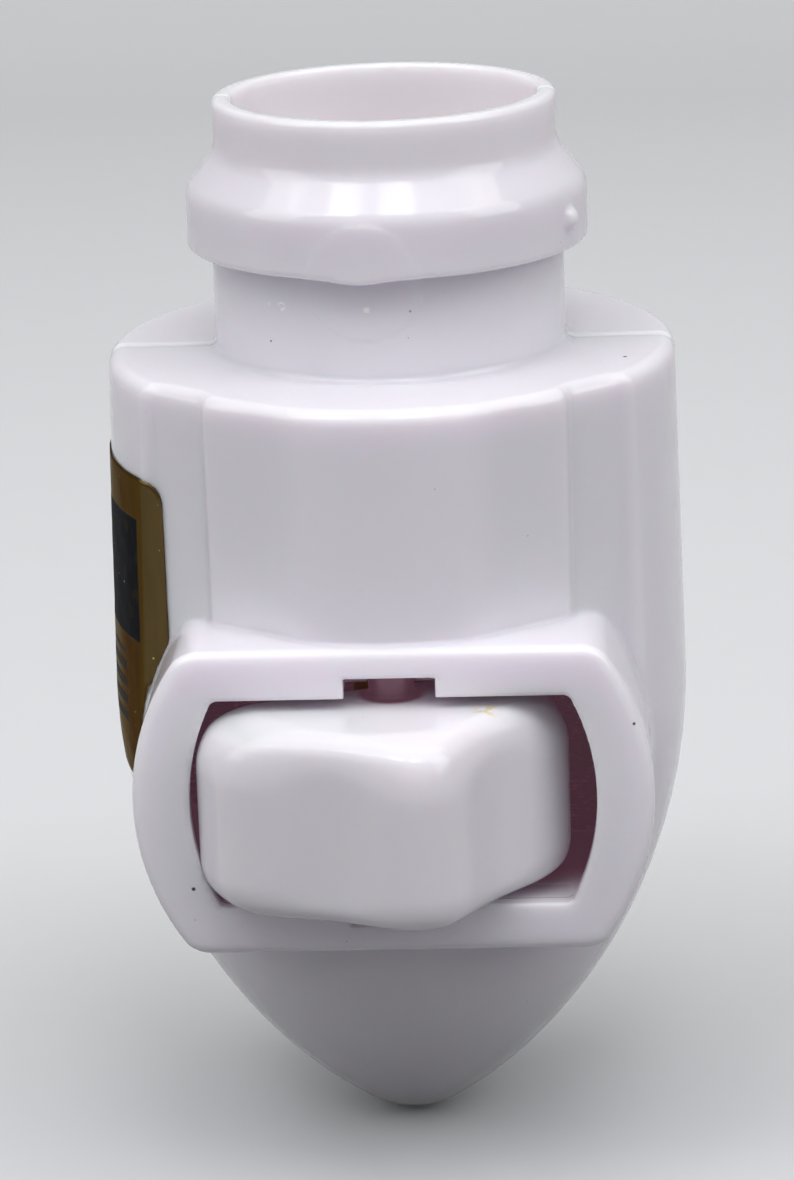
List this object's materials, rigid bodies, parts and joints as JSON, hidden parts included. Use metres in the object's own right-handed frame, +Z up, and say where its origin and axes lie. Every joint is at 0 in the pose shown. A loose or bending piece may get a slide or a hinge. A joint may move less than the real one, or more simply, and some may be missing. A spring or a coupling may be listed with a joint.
{
  "type": "plug-in night light base",
  "caption": "Two-shell plug-in night light base with a rocker switch, wall plug blades and a small screw lamp socket inside a shade collar.",
  "frame": {"origin": "on the flat wall face at the back, midway between the two plug blades", "axes": "+Z up towards the lamp collar, +Y into the wall along the blades, -Y towards the person in front, +X to that person's right"},
  "size_m": [0.0367, 0.0582, 0.0679],
  "materials": {
    "case_plastic": "glossy moulded white plastic with a faint lavender tint",
    "rocker_plastic": "glossy moulded white plastic",
    "holder_plastic": "plain moulded plastic",
    "base_phenolic": "pressed phenolic board",
    "brass_strip": "stamped strip",
    "contact_silver": "silver-faced contact",
    "spring_steel": "zinc-plated steel",
    "blade_brass": "stamped brass with sheared edges",
    "shell_brass": "thin drawn brass",
    "bronze_tongue": "springy bronze strip",
    "lead_white": "soft insulation",
    "lead_black": "soft insulation",
    "foil": "gold foil seal with black panels"
  },
  "bodies": {
    "case": {"front_shell": "case_plastic", "rear_shell": "case_plastic", "cradle_terminal": "brass_strip", "seesaw_pin": "spring_steel", "load_terminal": "brass_strip", "fixed_contact_rivet": "contact_silver", "switch_base": "base_phenolic", "neutral_blade": "blade_brass", "line_blade": "blade_brass", "blade_retainer": "holder_plastic", "case_screw": "spring_steel", "lamp_screw_shell": "shell_brass", "socket_holder": "holder_plastic", "contact_insulator": "base_phenolic", "centre_contact": "bronze_tongue", "centre_rivet": "shell_brass", "neutral_lead": "lead_white", "line_lead": "lead_black", "load_lead": "lead_black", "foil_label": "foil"},
    "rocker": {"rocker": "rocker_plastic", "plunger_spring": "spring_steel"},
    "plunger": {"plunger": "holder_plastic"},
    "seesaw": {"seesaw_contact": "brass_strip", "moving_contact_rivet": "contact_silver"}
  },
  "joints": [
    {"name": "rocker_tilt", "type": "hinge", "parent": "case", "child": "rocker", "pos_m": [0, -0.03075, -0.0052], "axis": [0, 0, -1], "range_deg": [0, 39]},
    {"name": "plunger_slide", "type": "slide", "parent": "rocker", "child": "plunger", "axis": [0.3338, -0.9426, 0], "range_m": [0, 0.0005], "stiffness_N_per_m": 300, "springref_m": -0.002, "deforming": ["plunger_spring"]},
    {"name": "seesaw_tilt", "type": "hinge", "parent": "case", "child": "seesaw", "pos_m": [0, -0.02295, -0.0052], "axis": [0, 0, 1], "range_deg": [0, 15.6]}
  ],
  "couplings": [
    {"joint": "seesaw_tilt", "follows": "rocker_tilt", "ratio": 0.4}
  ]
}
